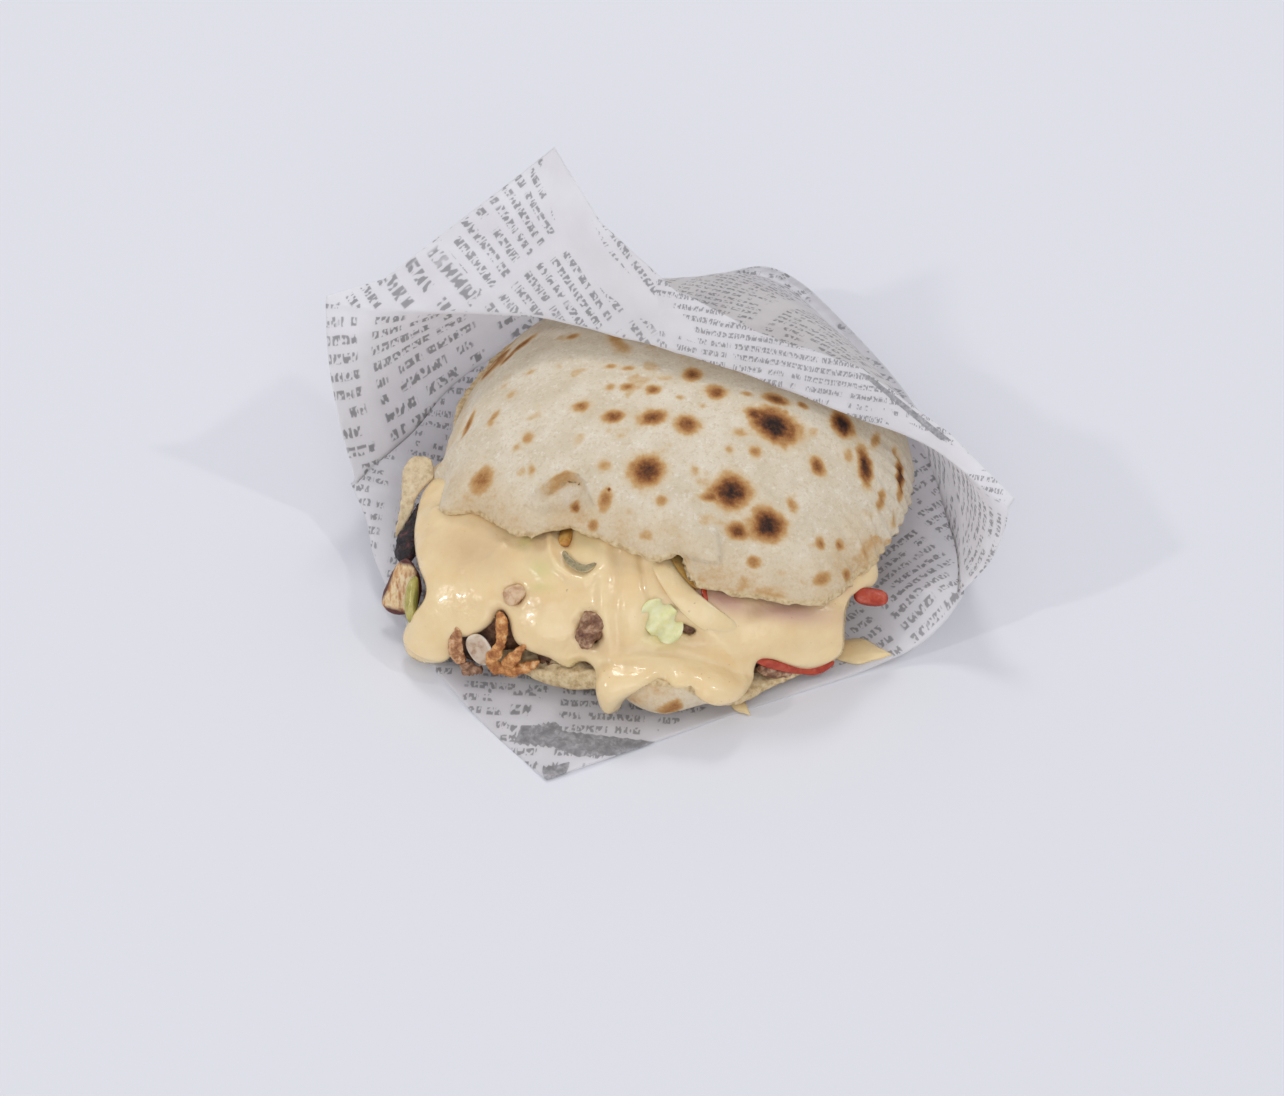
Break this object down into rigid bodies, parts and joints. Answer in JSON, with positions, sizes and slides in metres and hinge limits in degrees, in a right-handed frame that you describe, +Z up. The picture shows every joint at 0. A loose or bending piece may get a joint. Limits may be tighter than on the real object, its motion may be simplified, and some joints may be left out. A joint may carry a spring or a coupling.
{
  "type": "shawarma flatbread pocket in a paper bag",
  "caption": "Warm flatbread pocket stuffed with shawarma meat, salad and cheese sauce, lying in an open paper bag.",
  "frame": {"origin": "on the surface it lies on, under the middle of the flatbread", "axes": "+Z up from the surface, -Y towards the pocket's open mouth, +X to the right seen from the mouth"},
  "size_m": [0.2305, 0.2408, 0.1074],
  "materials": {
    "greaseproof_paper": "thin white greaseproof with grey print",
    "toasted_flatbread": "dry, floury, with browned spots",
    "shawarma_meat": "moist minced and shaved meat",
    "cheese_sauce": "glossy, slightly translucent",
    "charred_meat": "charred",
    "grilled_meat": "grilled, browned rim",
    "pickle": "wet",
    "onion": "wet, translucent",
    "crisp_meat": "fried crisp",
    "cucumber": "wet, green rind",
    "lettuce": "curly, pale green",
    "sliced_cheese": "soft",
    "tomato": "wet"
  },
  "bodies": {
    "root": {"paper_bag": "greaseproof_paper", "flatbread": "toasted_flatbread", "filling_core": "shawarma_meat", "cheese_sauce": "cheese_sauce", "sauce_splash": "cheese_sauce", "sauce_drop": "cheese_sauce", "charred_strip": "charred_meat", "grilled_piece": "grilled_meat", "pickle_wedge": "pickle", "meat_shaving": "shawarma_meat", "onion_slice": "onion", "crisp_meat": "crisp_meat", "chicken_chunk": "grilled_meat", "minced_chunk": "shawarma_meat", "cucumber_slice": "cucumber", "lettuce_leaf": "lettuce", "cheese_slice": "sliced_cheese", "tomato_slice_upper": "tomato", "tomato_slice_front": "tomato", "tomato_slice_side": "tomato"}
  },
  "joints": []
}
